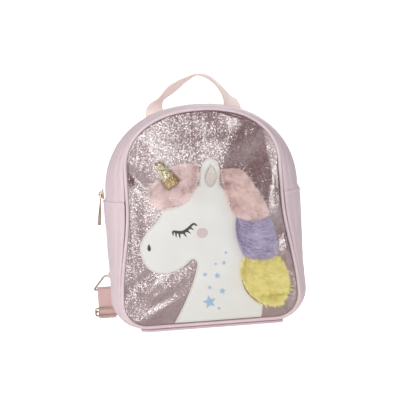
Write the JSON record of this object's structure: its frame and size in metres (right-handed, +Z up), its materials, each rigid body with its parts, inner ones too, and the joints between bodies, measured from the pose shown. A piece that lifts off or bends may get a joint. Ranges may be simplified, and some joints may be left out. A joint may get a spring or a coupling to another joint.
{
  "type": "child's backpack",
  "caption": "Small stuffed child's backpack with an arched zip, carrying loop, webbing shoulder straps and a glitter front with a unicorn head and plush mane.",
  "frame": {"origin": "middle of the base's flat underside", "axes": "+Z up, the glitter front faces -Y, +X to the viewer's right"},
  "size_m": [0.2413, 0.1605, 0.2828],
  "materials": {
    "leatherette": "smooth satin",
    "piping": "smooth satin",
    "glitter_cloth": "glitter",
    "zip_cloth": "woven",
    "webbing": "woven",
    "rose_metal": "polished rose gold",
    "white_leatherette": "smooth satin",
    "ear_cloth": "matt",
    "gold_cloth": "gold glitter",
    "plush_pink": "plush",
    "plush_lilac": "plush",
    "plush_yellow": "plush"
  },
  "bodies": {
    "bag": {"front_panel": "glitter_cloth", "front_piping": "piping", "gusset_front": "leatherette", "zip_tape": "zip_cloth", "gusset_back": "leatherette", "gusset_lower": "leatherette", "back_panel": "leatherette", "base_panel": "leatherette", "zip_slider": "rose_metal", "handle": "webbing", "strap_left": "webbing", "strap_ring_left": "rose_metal", "strap_slider_left": "rose_metal", "strap_tab_left": "leatherette", "strap_right": "webbing", "strap_ring_right": "rose_metal", "strap_slider_right": "rose_metal", "strap_tab_right": "leatherette", "head": "white_leatherette", "ear_inside": "ear_cloth", "horn": "gold_cloth", "forelock": "plush_pink", "mane_pink": "plush_pink", "mane_lilac": "plush_lilac", "mane_yellow": "plush_yellow"},
    "zip_pull": {"zip_pull": "rose_metal"}
  },
  "joints": [
    {"name": "zip_pull_swing", "type": "hinge", "parent": "bag", "child": "zip_pull", "pos_m": [-0.11425, 0.008, 0.1547], "axis": [0, 1, 0], "range_deg": [0, 150]}
  ]
}
